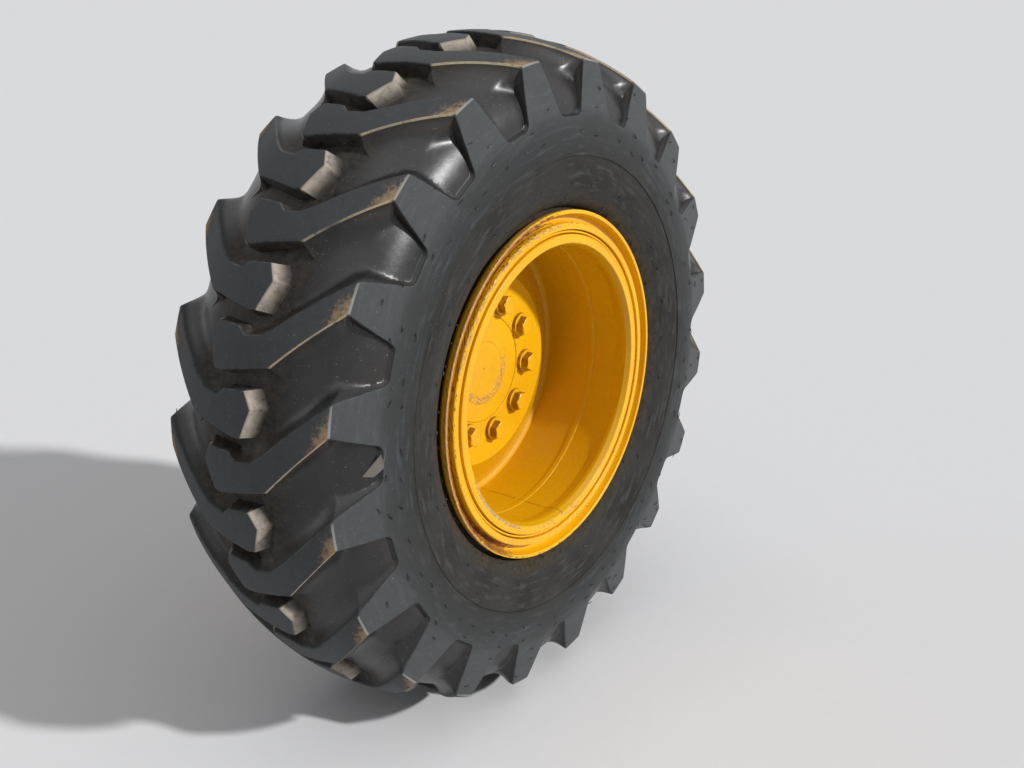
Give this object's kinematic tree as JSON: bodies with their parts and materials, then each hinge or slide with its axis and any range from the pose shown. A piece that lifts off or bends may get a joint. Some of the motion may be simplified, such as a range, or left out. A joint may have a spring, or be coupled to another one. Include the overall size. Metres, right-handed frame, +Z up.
{
  "type": "motor grader drive wheel on its spindle housing",
  "caption": "Lugged earthmover tyre on a multi-piece rim with a bolted dished disc, turning freely on the ribbed spindle housing that carries it.",
  "frame": {"origin": "middle of the spindle housing's bolting face, on the wheel's axis", "axes": "+Y along the wheel's axis toward the machine, +Z up, -X toward the machine's front; the wheel's outer side faces -Y"},
  "size_m": [1.3646, 0.5775, 1.3646],
  "materials": {
    "tyre": "satin, dusty",
    "rim_paint": "gloss, worn at the edges",
    "spindle_steel": "gloss",
    "bolt_paint": "gloss, chipped",
    "valve_brass": "satin",
    "cap_plastic": "matt",
    "housing_paint": "semi-gloss",
    "seal_rubber": "matt"
  },
  "bodies": {
    "axle_housing": {"spindle_housing": "housing_paint", "seal_cover": "housing_paint", "shaft_seal": "seal_rubber", "cover_bolts": "bolt_paint"},
    "wheel": {"tyre": "tyre", "rim_base": "rim_paint", "bead_seat_band": "rim_paint", "lock_ring": "rim_paint", "outer_flange": "rim_paint", "inner_flange": "rim_paint", "wheel_disc": "rim_paint", "disc_welds": "rim_paint", "wheel_spindle": "spindle_steel", "wheel_bolts": "bolt_paint", "bolt_washers": "bolt_paint", "valve_stem": "valve_brass", "valve_cap": "cap_plastic"}
  },
  "joints": [
    {"name": "wheel_spin", "type": "hinge", "parent": "axle_housing", "child": "wheel", "pos_m": [0, -0.245, 0], "axis": [0, 1, 0], "continuous": true}
  ]
}
